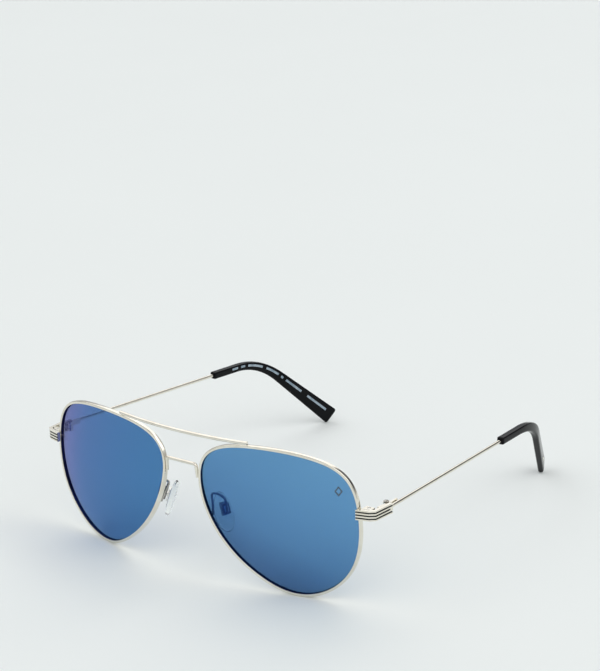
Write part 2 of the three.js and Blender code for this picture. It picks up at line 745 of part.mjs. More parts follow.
function crossAxes(tangent) {
  const side = new THREE.Vector3(tangent.y, -tangent.x, 0).normalize();
  return { side, up: new THREE.Vector3().crossVectors(side, tangent) };
}

// A rounded rectangle: a superellipse of the given width and height.
function roundedSection(centre, tangent, width, height) {
  const { side, up } = crossAxes(tangent);
  const halfStep = Math.PI / ROUND_SIDES;
  const rounded = (value) => (
    Math.sign(value) * (Math.abs(value) / Math.cos(halfStep)) ** TIP_ROUNDNESS
  );
  return Array.from({ length: ROUND_SIDES }, (_, k) => {
    const angle = (2 * k + 1) * halfStep;
    return centre.clone()
      .addScaledVector(side, (width / 2) * rounded(Math.cos(angle)))
      .addScaledVector(up, (height / 2) * rounded(Math.sin(angle)));
  });
}

// The tip keeps its section along the wire, then grows taller and thinner down the tail.
function tipSizeAt(share) {
  const straight = bendStart.distanceTo(tipStart) / TIP_LENGTH;
  const tail = Math.max(0, (share - straight) / (1 - straight));
  return {
    width: THREE.MathUtils.lerp(TIP_START_WIDTH, TIP_TAIL_WIDTH, tail),
    height: THREE.MathUtils.lerp(TIP_START_HEIGHT, TIP_TAIL_HEIGHT, tail ** 1.1),
  };
}

function inlayPlace() {
  const { side, up } = crossAxes(tailDirection);
  const centre = tailEnd.clone()
    .addScaledVector(tailDirection, -INLAY_FROM_END)
    .addScaledVector(side, tipSizeAt(1 - INLAY_FROM_END / TIP_LENGTH).width / 2 - INLAY_DEPTH / 2);
  return new THREE.Matrix4().makeBasis(side, tailDirection, up).setPosition(centre);
}

function inlayGeometry() {
  return new THREE.BoxGeometry(INLAY_DEPTH, INLAY_LENGTH, INLAY_HEIGHT).applyMatrix4(inlayPlace());
}

function tipGeometry() {
  const path = tipPath();
  const length = path.getLength();
  const straight = bendStart.distanceTo(tipStart);
  const bendLength = length - straight - tailEnd.distanceTo(bendEnd);
  const inBend = Array.from({ length: BEND_STEPS + 1 }, (_, i) => (
    straight + (bendLength * i) / BEND_STEPS
  ));
  const distances = [TIP_EDGE, ...inBend, length - TAIL_LENGTH / 3, length - TIP_EDGE];
  const sectionAt = (distance, inset) => {
    const share = distance / length;
    const { width, height } = tipSizeAt(share);
    return roundedSection(
      path.getPointAt(share),
      path.getTangentAt(share),
      width - 2 * inset,
      height - 2 * inset,
    );
  };
  const rings = [
    sectionAt(0, TIP_EDGE),
    ...distances.map((distance) => sectionAt(distance, 0)),
    sectionAt(length, TIP_EDGE),
  ];
  const boreStart = tipStart.clone().addScaledVector(templeDirection, -1);
  const boreDepth = WIRE_SEAT + WIRE_SEAT_CLEARANCE;
  const boreEnd = tipStart.clone().addScaledVector(templeDirection, boreDepth);
  const boreRadius = WIRE_RADIUS + WIRE_SEAT_CLEARANCE;
  const bore = bar(new THREE.LineCurve3(boreStart, boreEnd), 1, ROUND_SIDES, () => boreRadius);
  const pocket = new THREE.BoxGeometry(
    INLAY_DEPTH + 2 * INLAY_CLEARANCE,
    INLAY_LENGTH + 2 * INLAY_CLEARANCE,
    INLAY_HEIGHT + 2 * INLAY_CLEARANCE,
  ).applyMatrix4(inlayPlace());
  return cut(skin(rings), bore, pocket);
}

// ---- Nose pad, in its own frame: x points away from the nose, y across it, z along it ----

const plateOuter = PAD_THICKNESS / 2 + PAD_PLATE_GAP + PAD_PLATE_THICKNESS;
const boxMouth = plateOuter + PAD_ROCK_GAP;
const padScrewX = boxMouth + (PAD_BOX_DEPTH - PAD_BOX_WALL) / 2;

function nosePadGeometry() {
  const outlineRing = (x, scale) => Array.from({ length: PAD_SIDES }, (_, k) => {
    const angle = (2 * Math.PI * k) / PAD_SIDES;
    const taper = 1 - PAD_TAPER * Math.sin(angle);
    return new THREE.Vector3(
      x,
      (PAD_WIDTH / 2) * scale * taper * Math.cos(angle),
      (PAD_LENGTH / 2) * scale * Math.sin(angle),
    );
  });
  return skin(Array.from({ length: PAD_LAYERS + 1 }, (_, i) => {
    const angle = (Math.PI * i) / PAD_LAYERS;
    return outlineRing((-PAD_THICKNESS / 2) * Math.cos(angle), Math.sin(angle) ** PAD_FULLNESS);
  }));
}

function acrossPad(radius, x, length) {
  return new THREE.CylinderGeometry(radius, radius, length, SMALL_SIDES)
    .translate(x, 0, PAD_BOX_RISE);
}

function padStemGeometry() {
  const plate = box(
    [PAD_PLATE_THICKNESS, PAD_PLATE_WIDTH, PAD_PLATE_LENGTH],
    [plateOuter - PAD_PLATE_THICKNESS / 2, 0, PAD_BOX_RISE],
  );
  const neckLength = padScrewX - plateOuter + PAD_PLATE_THICKNESS;
  const neck = box(
    [neckLength, PAD_LUG_WIDTH, PAD_NECK_LENGTH],
    [padScrewX - neckLength / 2, 0, PAD_BOX_RISE],
  );
  const eye = acrossPad(PAD_LUG_RADIUS, padScrewX, PAD_LUG_WIDTH);
  const bore = acrossPad(PAD_SCREW_RADIUS + SCREW_CLEARANCE, padScrewX, PAD_LUG_WIDTH * 2);
  return cut(join(plate, neck, eye), bore);
}

function padBoxGeometry() {
  const shell = box(
    [PAD_BOX_DEPTH, PAD_BOX_WIDTH, PAD_BOX_LENGTH],
    [boxMouth + PAD_BOX_DEPTH / 2, 0, PAD_BOX_RISE],
  );
  const hollowDepth = PAD_BOX_DEPTH - PAD_BOX_WALL;
  const hollow = box(
    [hollowDepth + 1, PAD_BOX_WIDTH - 2 * PAD_BOX_WALL, PAD_BOX_LENGTH - 2 * PAD_BOX_WALL],
    [boxMouth + (hollowDepth - 1) / 2, 0, PAD_BOX_RISE],
  );
  const bore = acrossPad(PAD_SCREW_RADIUS + SCREW_CLEARANCE, padScrewX, PAD_BOX_WIDTH * 2);
  return cut(shell, hollow, bore);
}

function padScrewGeometry() {
  return slottedScrew(PAD_SCREW_RADIUS, PAD_HEAD_RADIUS, PAD_BOX_WIDTH + SOLDER_GAP)
    .rotateX(Math.PI / 2)
    .translate(padScrewX, -PAD_BOX_WIDTH / 2 - SOLDER_GAP, PAD_BOX_RISE);
}

// A place given from the rim's nose side, in the front's own frame.
function fromNoseSide([out, back, up]) {
  return new THREE.Vector3(NOSE_GAP / 2 + out, back, lensLevel + up);
}

function padPlacement() {
  const place = new THREE.Object3D();
  place.position.copy(fromNoseSide(PAD_CENTRE));
  place.rotation.set(radians(PAD_PITCH), radians(-PAD_LEAN), radians(-PAD_SPLAY), 'ZYX');
  place.updateMatrix();
  return place.matrix;
}

// The arm leaves the back of the rim, loops over the top and comes down onto the pad box.
function padArmGeometry() {
  const toFront = padPlacement();
  const onBox = (x, z) => new THREE.Vector3(x, 0, z).applyMatrix4(toFront);
  const boxBack = boxMouth + PAD_BOX_DEPTH + SOLDER_GAP + PAD_ARM_RADIUS;
  const footBack = RIM_DEPTH + SOLDER_GAP + PAD_ARM_RADIUS;
  const foot = besideNasalRim(PAD_ARM_FOOT, RIM_WALL / 2, footBack);
  const loop = fromNoseSide(PAD_ARM_LOOP);
  const curve = new THREE.CatmullRomCurve3([
    foot,
    new THREE.Vector3().lerpVectors(foot, loop, 0.5),
    loop,
    onBox(boxBack, PAD_BOX_RISE + PAD_BOX_LENGTH),
    onBox(boxBack, PAD_BOX_RISE - PAD_BOX_LENGTH / 3),
  ], false, 'centripetal');
  return bar(curve, 28, SMALL_SIDES, () => PAD_ARM_RADIUS);
}

// ---- Assembly ----

function piece(name, geometry, material) {
  const mesh = new THREE.Mesh(geometry, material);
  mesh.name = name;
  return mesh;
}

function screw(name, geometry, [x, y], z) {
  const mesh = piece(name, geometry, screwMetal);
  mesh.position.set(x, y, z);
  return mesh;
}

const shapes = {
  rim: rimGeometry(),
  lens: lensGeometry(),
  endPiece: endPieceGeometry(),
  upperBlock: closingBlockGeometry(endPieceLevel + RIM_SLIT / 2, closingTop),
  lowerBlock: closingBlockGeometry(closingBottom, endPieceLevel - RIM_SLIT / 2),
  closingScrew: slottedScrew(CLOSING_SCREW_RADIUS, CLOSING_HEAD_RADIUS, CLOSING_HEIGHT).rotateX(Math.PI),
  frontHinge: frontHingeGeometry(),
  rearHinge: rearHingeGeometry(),
  hingeScrew: slottedScrew(HINGE_SCREW_RADIUS, HINGE_HEAD_RADIUS, BARREL_HEIGHT + SOLDER_GAP),
  wire: wireGeometry(),
  tip: tipGeometry(),
  inlay: inlayGeometry(),
  nosePad: nosePadGeometry(),
  padStem: padStemGeometry(),
  padBox: padBoxGeometry(),
  padScrew: padScrewGeometry(),
  padArm: padArmGeometry(),
};

// Pieces of one side that belong to the tilted front.
function frontSide(name) {
  const side = new THREE.Group();
  const eye = new THREE.Group();
  eyeMatrix.decompose(eye.position, eye.quaternion, eye.scale);
  eye.add(
    piece(`${name}_rim`, shapes.rim, metal),
    piece(`${name}_lens`, shapes.lens, mirrorLens),
  );
  const pad = new THREE.Group();
  padPlacement().decompose(pad.position, pad.quaternion, pad.scale);
  pad.add(
    piece(`${name}_nose_pad`, shapes.nosePad, clearPlastic),
    piece(`${name}_pad_stem`, shapes.padStem, screwMetal),
    piece(`${name}_pad_box`, shapes.padBox, metal),
    piece(`${name}_pad_screw`, shapes.padScrew, screwMetal),
  );
  side.add(eye, pad, piece(`${name}_pad_arm`, shapes.padArm, metal));
  return side;
}

// Pieces of one side that stand upright: end piece, closing blocks, hinge and temple.
function templeSide(name) {
  const side = new THREE.Group();
  const closingHead = closingBottom - SOLDER_GAP;
  const hingeHead = barrelTop + SOLDER_GAP;
  side.add(
    piece(`${name}_end_piece`, shapes.endPiece, fluteMetal),
    piece(`${name}_closing_block_upper`, shapes.upperBlock, metal),
    piece(`${name}_closing_block_lower`, shapes.lowerBlock, metal),
    screw(`${name}_closing_screw`, shapes.closingScrew, closingScrewPlace, closingHead),
    piece(`${name}_front_hinge`, shapes.frontHinge, metal),
    piece(`${name}_temple_hinge`, shapes.rearHinge, metal),
    screw(`${name}_hinge_screw`, shapes.hingeScrew, hingeAxis, hingeHead),
    piece(`${name}_temple_wire`, shapes.wire, metal),
    piece(`${name}_temple_tip`, shapes.tip, tipPlastic),
    piece(`${name}_tip_inlay`, shapes.inlay, metal),
  );
  return side;
}

const front = new THREE.Group();
front.rotation.x = tilt;
front.add(
  piece('brow_bar', browBarGeometry(), metal),
  piece('lower_bridge', bridgeGeometry(), metal),
);

const glasses = new THREE.Group();
glasses.add(front);
for (const [name, mirror] of [['left', 1], ['right', -1]]) {
  const sides = [frontSide(name), templeSide(name)];
  sides.forEach((side) => side.scale.setX(mirror));
  front.add(sides[0]);
  glasses.add(sides[1]);
}

// The footprint's middle goes to the origin, with the lowest point on z = 0.
glasses.updateMatrixWorld(true);
const extent = new THREE.Box3().setFromObject(glasses, true);
const middle = extent.getCenter(new THREE.Vector3());
glasses.position.set(-middle.x, -middle.y, -extent.min.z);

const sunglasses = new THREE.Group();
sunglasses.add(glasses);

export default sunglasses;
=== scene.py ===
"""The look of the aviator sunglasses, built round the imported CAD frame."""
import math

import bmesh
import bpy
from mathutils import Matrix, Vector


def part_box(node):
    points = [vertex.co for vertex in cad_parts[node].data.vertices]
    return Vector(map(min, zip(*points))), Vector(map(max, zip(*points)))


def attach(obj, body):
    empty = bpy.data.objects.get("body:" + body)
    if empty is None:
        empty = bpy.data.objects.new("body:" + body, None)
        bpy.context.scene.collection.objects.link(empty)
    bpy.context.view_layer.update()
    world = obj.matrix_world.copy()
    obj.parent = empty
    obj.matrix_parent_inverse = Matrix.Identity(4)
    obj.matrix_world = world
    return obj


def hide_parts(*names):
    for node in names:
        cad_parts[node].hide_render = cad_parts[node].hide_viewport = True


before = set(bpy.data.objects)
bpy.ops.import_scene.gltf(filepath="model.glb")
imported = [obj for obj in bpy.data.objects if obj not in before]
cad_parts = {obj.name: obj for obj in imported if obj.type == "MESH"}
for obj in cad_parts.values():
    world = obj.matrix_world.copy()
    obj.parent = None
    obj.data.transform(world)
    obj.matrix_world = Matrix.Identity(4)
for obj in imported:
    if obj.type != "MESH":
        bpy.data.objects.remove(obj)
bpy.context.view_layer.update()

# ---- Dimensions of the visible shapes, in millimetres and degrees ----

OPENING_WIDTH, OPENING_HEIGHT = 57.8, 50.0
NOSE_GAP = 16.6
LENS_RADIUS = 106.0
WRAP, TILT = math.radians(10.6), math.radians(2.7)
RIM_WALL, RIM_DEPTH = 0.95, 1.6
RIM_ROUND = 0.32
RIM_INNER_ROUND = 0.14
RIM_SLIT = 0.3
RIM_EDGE = 0.2  # bevel of the CAD rim, which the swept rim rounds instead
GROOVE_DEPTH, GROOVE_HALF_WIDTH = 0.45, 0.45
OUTLINE_CORNERS = [
    (30, 10), (23, 24), (-12.5, 26), (-32.5, 19), (-25.5, -6), (-8, -21.5), (9, -28), (28.5, -15),
]
LENS_FRONT, LENS_BACK = 0.75, 1.2  # behind the rim's front edge
END_PIECE_RISE = 7.55
END_PIECE_LAP, END_PIECE_PROUD = 0.1, 1.4
END_PIECE_RUNS = [(4.6, 1.3), (1.7, 1.5), (0.5, 8.6)]
WIRE_RADIUS, WIRE_RISE, WIRE_INSET = 0.62, 0.45, 0.15
TEMPLE_GAP = 0.3
TEMPLE_LENGTH, TAIL_LENGTH = 140.0, 41.5
TEMPLE_TOE_IN, TEMPLE_DROP, TAIL_TOE_IN = math.radians(5), math.radians(1.95), math.radians(27)
EAR_BEND_TANGENT = 12.0
TIP_LENGTH = 66.5
TIP_START_WIDTH, TIP_TAIL_WIDTH = 2.7, 2.3
TIP_START_HEIGHT, TIP_TAIL_HEIGHT = 2.7, 6.6
TIP_EDGE = 0.6
TIP_ROUNDNESS = 0.45
TAIL_ROUND = 1.1
WIRE_SEAT = 12.0
INLAY_LENGTH, INLAY_HEIGHT, INLAY_FROM_END = 3.0, 1.2, 6.5
PAD_CENTRE = (3.0, 5.9, -3.2)
PAD_SPLAY, PAD_LEAN, PAD_PITCH = math.radians(30), math.radians(20), math.radians(4)
PAD_LENGTH, PAD_WIDTH, PAD_THICKNESS = 14.0, 6.5, 2.4
PAD_TAPER, PAD_FULLNESS = 0.12, 0.45
PAD_BOX_LENGTH, PAD_BOX_WIDTH, PAD_BOX_RISE = 3.8, 2.6, 1.2
FLUTE_WIDTH, FLUTE_PITCH = 0.45, 1.02
MM = 0.001

# Steps of the shapes
OUTLINE_SAMPLES = 720
STEPS = 288  # round a rim
HALVINGS = 40  # of the stretch of outline searched for the rim's slit
NUDGE = 1e-4  # of the outline's length, either side of a station
MERGE_DISTANCE, SHORTEST_EDGE = 1e-8, 1e-9  # in metres


# ---- Geometry shared with the frame ----

def spline(t):
    """A point on the closed cubic B-spline outline, t from 0 to 1."""
    count = len(OUTLINE_CORNERS)
    place = t * count
    first = math.floor(place)
    f = place - first
    weights = ((1 - f) ** 3, 3 * f ** 3 - 6 * f ** 2 + 4, -3 * f ** 3 + 3 * f ** 2 + 3 * f + 1, f ** 3)
    x = sum(w * OUTLINE_CORNERS[(first + k - 1) % count][0] for k, w in enumerate(weights)) / 6
    y = sum(w * OUTLINE_CORNERS[(first + k - 1) % count][1] for k, w in enumerate(weights)) / 6
    return x, y


raw = [spline(i / OUTLINE_SAMPLES) for i in range(OUTLINE_SAMPLES)]
low = [min(p[k] for p in raw) for k in (0, 1)]
high = [max(p[k] for p in raw) for k in (0, 1)]


def outline(t):
    """The spline, centred and scaled to the opening's width and height."""
    x, y = spline(t % 1.0)
    return (
        (x - (low[0] + high[0]) / 2) * OPENING_WIDTH / (high[0] - low[0]),
        (y - (low[1] + high[1]) / 2) * OPENING_HEIGHT / (high[1] - low[1]),
    )


def base_curve(x, z):
    """How far the lens's sphere lies behind its middle."""
    return LENS_RADIUS - math.sqrt(LENS_RADIUS ** 2 - x ** 2 - z ** 2)


lens_level = OPENING_HEIGHT / 2 + RIM_WALL
end_level = lens_level + END_PIECE_RISE
wire_level = end_level + WIRE_RISE
temporal = base_curve(OPENING_WIDTH / 2, 0)
lens_x = NOSE_GAP / 2 + OPENING_WIDTH / 2 * math.cos(WRAP) + temporal * math.sin(WRAP)
rim_edge = (
    lens_x + OPENING_WIDTH / 2 * math.cos(WRAP) - temporal * math.sin(WRAP),
    OPENING_WIDTH / 2 * math.sin(WRAP) + temporal * math.cos(WRAP) - end_level * math.sin(TILT),
)
eye = Matrix.Translation((lens_x, 0, lens_level)) @ Matrix.Rotation(WRAP, 4, "Z")
tilt = Matrix.Rotation(TILT, 4, "X")


def station(t):
    """Point and outward normal of the outline."""
    (x0, y0), (x1, y1) = outline(t - NUDGE), outline(t + NUDGE)
    along = Vector((x1 - x0, y1 - y0)).normalized()
    x, y = outline(t)
    return x, y, along.y, -along.x


def on_rim(t, outward, back):
    """A point at a station of the rim, outward and back from the opening's front edge."""
    x, y, nx, ny = station(t)
    return tilt @ eye @ Vector((x + nx * outward, base_curve(x, y) + back, y + ny * outward))


slit_height = (end_level - rim_edge[1] * math.sin(TILT)) / math.cos(TILT) - lens_level
below, above = -1 / len(OUTLINE_CORNERS), 1 / len(OUTLINE_CORNERS)
for _ in range(HALVINGS):
    between = (below + above) / 2
    if outline(between)[1] < slit_height:
        below = between
    else:
        above = between
slit = below

# The frame's own shift: the CAD rim's front and lowest edges against the same edges here
cad_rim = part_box("left_rim")
front_edge = min(on_rim(i / STEPS, RIM_WALL - RIM_EDGE, 0).y for i in range(STEPS))
lowest_edge = min(on_rim(i / STEPS, RIM_WALL, RIM_EDGE).z for i in range(STEPS))
shift = Vector((0, cad_rim[0].y / MM - front_edge, cad_rim[0].z / MM - lowest_edge))


def placed(point, side):
    """A point of the left half, in the frame's metres, or its mirror image on the right."""
    p = (Vector(point) + shift) * MM
    return Vector((p.x * side, p.y, p.z))


pad_place = (
    Matrix.Translation((NOSE_GAP / 2 + PAD_CENTRE[0], PAD_CENTRE[1], lens_level + PAD_CENTRE[2]))
    @ Matrix.Rotation(-PAD_SPLAY, 4, "Z")
    @ Matrix.Rotation(-PAD_LEAN, 4, "Y")
    @ Matrix.Rotation(PAD_PITCH, 4, "X")
)

# ---- Mesh helpers ----

def new_object(name, bm):
    """An object with the mesh of bm, in the scene."""
    mesh = bpy.data.meshes.new(name)
    bm.to_mesh(mesh)
    bm.free()
    obj = bpy.data.objects.new(name, mesh)
    bpy.context.scene.collection.objects.link(obj)
    return obj


def shade_smooth(mesh):
    mesh.polygons.foreach_set("use_smooth", [True] * len(mesh.polygons))


def make(name, rings, side, body, replaces, materials, faces=None, smooth=60):
    """A capped skin over rings of equal length.

    faces gives a face's material from its place round the ring. Edges sharper than smooth degrees stay sharp.
    """
    bm = bmesh.new()
    rows = [[bm.verts.new(placed(p, side)) for p in ring] for ring in rings]
    size = len(rows[0])
    for a, b in zip(rows, rows[1:]):
        for k in range(size):
            face = bm.faces.new((a[k], a[(k + 1) % size], b[(k + 1) % size], b[k]))
            if faces:
                face.material_index = faces(k)
    bm.faces.new(list(reversed(rows[0])))
    bm.faces.new(rows[-1])
    bmesh.ops.remove_doubles(bm, verts=bm.verts, dist=MERGE_DISTANCE)
    bmesh.ops.dissolve_degenerate(bm, edges=bm.edges, dist=SHORTEST_EDGE)
    bmesh.ops.recalc_face_normals(bm, faces=bm.faces)
    obj = new_object(name, bm)
    shade_smooth(obj.data)
    obj.data.set_sharp_from_angle(angle=math.radians(smooth))
    for m in materials:
        obj.data.materials.append(m)
    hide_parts(*replaces)
    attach(obj, body)
    return obj


# ---- Materials ----

def new_material(name):
    m = bpy.data.materials.new(name)
    m.use_nodes = True
    nt = m.node_tree
    return m, nt, nt.nodes["Principled BSDF"], nt.nodes["Material Output"]


def grey(value):
    return (value, value, value)


def node(nt, kind, **values):
    """A node with plain values on its inputs."""
    n = nt.nodes.new(kind)
    for key, value in values.items():
        n.inputs[key].default_value = value
    return n


def combine(nt, kind, operation, values, output="Value"):
    """The output of a Math or VectorMath node on sockets or plain values."""
    n = nt.nodes.new(f"ShaderNode{kind}")
    n.operation = operation
    for socket, value in zip(n.inputs, values):
        if isinstance(value, bpy.types.NodeSocket):
            nt.links.new(value, socket)
        else:
            socket.default_value = value
    return n.outputs[output]


def ramp(nt, source, stops, interpolation="EASE"):
    """Colours along source: stops are places and colours."""
    n = nt.nodes.new("ShaderNodeValToRGB")
    n.color_ramp.interpolation = interpolation
    while len(n.color_ramp.elements) < len(stops):
        n.color_ramp.elements.new(0.5)
    for element, (place, colour) in zip(n.color_ramp.elements, stops):
        element.position = place
        element.color = (*colour, 1)
    nt.links.new(source, n.inputs["Fac"])
    return n.outputs["Color"]


def own_coords(nt):
    return nt.nodes.new("ShaderNodeTexCoord").outputs["Object"]


def noise(nt, coords, scale, detail):
    n = node(nt, "ShaderNodeTexNoise", Scale=scale, Detail=detail)
    nt.links.new(coords, n.inputs["Vector"])
    return n.outputs["Fac"]


def across(nt, values):
    """Distance along a line through the frame: values gives the factors for x, y, z and an offset."""
    along = combine(nt, "VectorMath", "DOT_PRODUCT", (own_coords(nt), values[:3]))
    return combine(nt, "Math", "ADD", (along, values[3]))


def bump(nt, height, shader, strength, distance):
    n = node(nt, "ShaderNodeBump", Strength=strength, Distance=distance)
    nt.links.new(height, n.inputs["Height"])
    nt.links.new(n.outputs["Normal"], shader.inputs["Normal"])


def colour_by(nt, source, stops, shader):
    nt.links.new(ramp(nt, source, stops), shader.inputs["Base Color"])


def roughness_by(nt, source, smoothest, roughest, shader):
    """Roughness along source: each end is a place and a value."""
    stops = [(place, grey(value)) for place, value in (smoothest, roughest)]
    nt.links.new(ramp(nt, source, stops), shader.inputs["Roughness"])


def metal_material(name, light, dark, rough):
    m, nt, shader, _ = new_material(name)
    coords = own_coords(nt)
    shader.inputs["Metallic"].default_value = 1.0
    colour_by(nt, noise(nt, coords, scale=180, detail=5), [(0.3, dark), (0.7, light)], shader)
    fine = noise(nt, coords, scale=2600, detail=3)
    roughness_by(nt, fine, (0.3, rough[0]), (0.75, rough[1]), shader)
    bump(nt, noise(nt, coords, scale=1400, detail=2), shader, strength=0.05, distance=0.00004)
    return m


silver = metal_material("silver_plate", (0.85, 0.815, 0.72), (0.78, 0.735, 0.63), rough=(0.08, 0.16))
# A darker copy of the silver, as painted shade: for the pad arms seen behind the lenses, and for the hinge
# screws.
shade_darkened_silver = metal_material("silver_darkened_as_shade", (0.46, 0.44, 0.4), (0.3, 0.29, 0.26), rough=(0.1, 0.18))
turned = metal_material("turned_steel", (0.78, 0.765, 0.73), (0.66, 0.64, 0.6), rough=(0.16, 0.3))


def dull_material(name, dark, light):
    """Even colour without shine: the painted shadow line on the rims' inner walls, the enamel in the flutes
    and the printing inks.
    """
    m, nt, shader, _ = new_material(name)
    cloud = noise(nt, own_coords(nt), scale=400, detail=3)
    colour_by(nt, cloud, [(0.3, dark), (0.8, light)], shader)
    roughness_by(nt, cloud, (0.2, 0.3), (0.8, 0.45), shader)
    return m


# Near-black painted shade: the shadow line between rim and lens, on each rim's inner wall and groove.
rim_painted_shade = dull_material("rim_shadow_line", (0.004, 0.004, 0.006), (0.012, 0.013, 0.018))


# The pad box's colours: a pale middle as painted light, and dark metal round it as painted shade.
BOX_PAINTED_LIGHT, BOX_SHADED_METAL = (0.8, 0.8, 0.78), (0.22, 0.21, 0.2)
PALE_TO, METAL_FROM = 0.5, 0.66  # shares of the pad box's half length and half width


def box_material(side):
    """Darker metal as painted shade, with a paler middle painted on the pad box's back as painted light."""
    m, nt, shader, _ = new_material(f"pad_box_{'left' if side > 0 else 'right'}")
    coords = own_coords(nt)
    centre = placed(tilt @ pad_place @ Vector((0, 0, PAD_BOX_RISE)), side)
    turn = tilt.to_3x3() @ pad_place.to_3x3()
    spans = []
    for axis, reach in ((turn.col[1], PAD_BOX_WIDTH / 2), (turn.col[2], PAD_BOX_LENGTH / 2)):
        along = Vector((axis.x * side, axis.y, axis.z)) / (reach * MM)
        line = across(nt, (*along, -along.dot(centre)))
        spans.append(combine(nt, "Math", "ABSOLUTE", (line,)))
    widest = combine(nt, "Math", "MAXIMUM", spans)
    colour_by(nt, widest, [(PALE_TO, BOX_PAINTED_LIGHT), (METAL_FROM, BOX_SHADED_METAL)], shader)
    nt.links.new(ramp(nt, widest, [(PALE_TO, grey(0.0)), (METAL_FROM, grey(1.0))]), shader.inputs["Metallic"])
    roughness_by(nt, noise(nt, coords, scale=2600, detail=3), (0.3, 0.2), (0.75, 0.32), shader)
    return m


enamel = dull_material("groove_enamel", (0.003, 0.003, 0.004), (0.009, 0.009, 0.011))


def black_material():
    m, nt, shader, _ = new_material("black_acetate")
    coords = own_coords(nt)
    cloud = noise(nt, coords, scale=120, detail=4)
    colour_by(nt, cloud, [(0.3, (0.001, 0.0013, 0.002)), (0.75, (0.003, 0.0036, 0.005))], shader)
    roughness_by(nt, noise(nt, coords, scale=900, detail=3), (0.3, 0.12), (0.8, 0.2), shader)
    shader.inputs["Specular IOR Level"].default_value = 0.13
    bump(nt, noise(nt, coords, scale=500, detail=2), shader, strength=0.08, distance=0.00008)
    return m


black = black_material()
print_ink = dull_material("pale_print", (0.2, 0.27, 0.33), (0.42, 0.5, 0.56))
mark_ink = dull_material("dark_print", (0.06, 0.09, 0.13), (0.085, 0.12, 0.17))


def pad_material():
    m, nt, shader, _ = new_material("clear_silicone")
    cloud = noise(nt, own_coords(nt), scale=300, detail=3)
    colour_by(nt, cloud, [(0.3, (0.93, 0.955, 0.95)), (0.8, (0.97, 0.98, 0.975))], shader)
    roughness_by(nt, cloud, (0.2, 0.02), (0.8, 0.05), shader)
    shader.inputs["Transmission Weight"].default_value = 1.0
    shader.inputs["IOR"].default_value = 1.3
    return m


clear = pad_material()


# Each lens's colours. line gives factors for x, y, z in metres and an offset, for 0 to 1 across the lens: on
# the left one from its lower nose side to its upper outer side, on the right one from its outer side to the
# nose. Along it, through is what shows through the lens and film is its mirror coating. Both ramps paint in
# light and shade across the lens: the left one's darker lower nose side is painted shade, and the right one's
# purple outer side is a painted reflection, the coating's colour when seen aslant.
FILM_SHARE = 0.2
LENS_LOOK = {
    1: {
        "line": (6.0, 0, 12.0, -0.12),
        "through": [(0.0, (0.30, 0.40, 0.55)), (0.35, (0.40, 0.62, 0.78)), (1.0, (0.50, 0.74, 0.86))],
        "film": [(0.0, (0.03, 0.06, 0.25)), (0.4, (0.05, 0.12, 0.5)), (1.0, (0.05, 0.17, 0.55))],
    },
    -1: {
        "line": (17.0, 0, -4.0, 1.26),
        "through": [(0.0, (0.56, 0.54, 0.76)), (0.3, (0.37, 0.53, 0.73)), (1.0, (0.34, 0.57, 0.74))],
        "film": [(0.0, (0.1, 0.09, 0.45)), (0.3, (0.03, 0.1, 0.42)), (1.0, (0.03, 0.12, 0.46))],
    },
}


def lens_material(side):
    """Mirror film over a tinted lens: what is behind it shows through, darker and bluer."""
    look = LENS_LOOK[side]
    m, nt, shader, out = new_material(f"mirror_lens_{'left' if side > 0 else 'right'}")
    # The ramps along line paint in reflection and shade across the lens.
    line = across(nt, look["line"])
    nt.links.new(ramp(nt, line, look["film"], "B_SPLINE"), shader.inputs["Base Color"])
    shader.inputs["Metallic"].default_value = 1.0
    roughness_by(nt, noise(nt, own_coords(nt), scale=700, detail=2), (0.2, 0.03), (0.8, 0.07), shader)
    through = nt.nodes.new("ShaderNodeBsdfTransparent")
    nt.links.new(ramp(nt, line, look["through"], "B_SPLINE"), through.inputs["Color"])
    mix = node(nt, "ShaderNodeMixShader", Fac=FILM_SHARE)
    nt.links.new(through.outputs["BSDF"], mix.inputs[1])
    nt.links.new(shader.outputs["BSDF"], mix.inputs[2])
    nt.links.new(mix.outputs["Shader"], out.inputs["Surface"])
    return m


# ---- Rims and lenses ----

def arc(centre, radius, start, end, count):
    """Points of an arc in the profile's plane, its angles in degrees."""
    return [
        (centre[0] + radius * math.cos(math.radians(start + (end - start) * i / count)),
         centre[1] + radius * math.sin(math.radians(start + (end - start) * i / count)))
        for i in range(count + 1)
    ]


# Outward and back of each profile point, front inner corner first
rim_profile = (
    arc((RIM_INNER_ROUND, RIM_INNER_ROUND), RIM_INNER_ROUND, 180, 270, 3)
    + arc((RIM_WALL - RIM_ROUND, RIM_ROUND), RIM_ROUND, 270, 360, 5)
    + arc((RIM_WALL - RIM_ROUND, RIM_DEPTH - RIM_ROUND), RIM_ROUND, 0, 90, 5)
    + arc((RIM_INNER_ROUND, RIM_DEPTH - RIM_INNER_ROUND), RIM_INNER_ROUND, 90, 180, 3)
    + [(0, RIM_DEPTH / 2 + GROOVE_HALF_WIDTH), (GROOVE_DEPTH, RIM_DEPTH / 2)]
    + [(0, RIM_DEPTH / 2 - GROOVE_HALF_WIDTH)]
)
INNER_WALL = len(rim_profile) - 4


def make_rim(name, side):
    rings = []
    for i in range(STEPS + 1):
        t = slit + i / STEPS
        _, _, nx, ny = station(t)
        away = RIM_SLIT / 2 if i == 0 else -RIM_SLIT / 2 if i == STEPS else 0
        along = eye.to_3x3() @ Vector((-ny, 0, nx)) * away
        rings.append([on_rim(t, o, b) + tilt.to_3x3() @ along for o, b in rim_profile])
    # The inner wall and groove faces take the painted shadow line.
    return make(f"{name}_rim_swept", rings, side, "front", [f"{name}_rim"],
                [silver, rim_painted_shade], faces=lambda k: 1 if k >= INNER_WALL else 0, smooth=50)


LENS_RINGS = 16
LENS_HUB, LENS_SPREAD = 0.04, 0.95  # scale of the innermost ring, and what the outermost adds to it
LENS_LAP = 0.28  # reach of the edge into the rim's groove
LENS_LIP = 0.15  # depth of the edge's straight part


